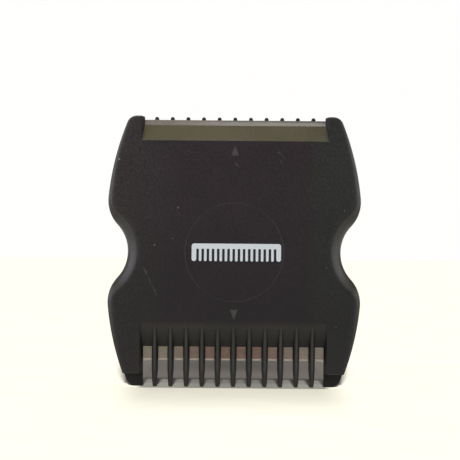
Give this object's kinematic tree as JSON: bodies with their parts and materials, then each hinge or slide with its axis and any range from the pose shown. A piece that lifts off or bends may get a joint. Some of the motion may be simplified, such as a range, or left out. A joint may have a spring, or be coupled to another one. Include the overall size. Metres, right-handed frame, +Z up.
{
  "type": "two-ended razor comb",
  "caption": "Flat palm-sized hair trimming comb with finger notches, a razor blade behind long tines at one end and a blade before short teeth at the other.",
  "frame": {"origin": "under the middle of the object, at the level of the tine tips and rear ear tips that it stands on", "axes": "+Z up from the long-cut end to the short-cut end, -Y out of the front face with the long tines, +X to the right as seen from the front"},
  "size_m": [0.06, 0.009, 0.0645],
  "materials": {
    "shell_plastic": "fine moulded texture, satin black",
    "blade_steel": "rolled strip with a ground bevel",
    "screw_steel": "bright zinc plate",
    "badge_ink": "pale pad-printed ink"
  },
  "bodies": {
    "front_half": {"front_shell": "shell_plastic"},
    "rear_half": {"rear_shell": "shell_plastic"},
    "upper_blade": {"short_cut_blade": "blade_steel"},
    "lower_blade": {"long_cut_blade": "blade_steel"},
    "upper_left_screw": {"screw_upper_left": "screw_steel"},
    "upper_right_screw": {"screw_upper_right": "screw_steel"},
    "lower_left_screw": {"screw_lower_left": "screw_steel"},
    "lower_right_screw": {"screw_lower_right": "screw_steel"}
  },
  "joints": [
    {"name": "rear_half_lift_off", "type": "slide", "parent": "front_half", "child": "rear_half", "axis": [0, 1, 0], "range_m": [0, 0.02]},
    {"name": "upper_blade_lift_off", "type": "slide", "parent": "front_half", "child": "upper_blade", "axis": [0, 1, 0], "range_m": [0, 0.01]},
    {"name": "lower_blade_lift_off", "type": "slide", "parent": "front_half", "child": "lower_blade", "axis": [0, 1, 0], "range_m": [0, 0.01]},
    {"name": "upper_left_screw_out", "type": "slide", "parent": "rear_half", "child": "upper_left_screw", "axis": [0, 1, 0], "range_m": [0, 0.008]},
    {"name": "upper_right_screw_out", "type": "slide", "parent": "rear_half", "child": "upper_right_screw", "axis": [0, 1, 0], "range_m": [0, 0.008]},
    {"name": "lower_left_screw_out", "type": "slide", "parent": "rear_half", "child": "lower_left_screw", "axis": [0, 1, 0], "range_m": [0, 0.008]},
    {"name": "lower_right_screw_out", "type": "slide", "parent": "rear_half", "child": "lower_right_screw", "axis": [0, 1, 0], "range_m": [0, 0.008]}
  ],
  "couplings": [
    {"joint": "upper_blade_lift_off", "follows": "rear_half_lift_off", "ratio": 0.5},
    {"joint": "lower_blade_lift_off", "follows": "rear_half_lift_off", "ratio": 0.5}
  ]
}
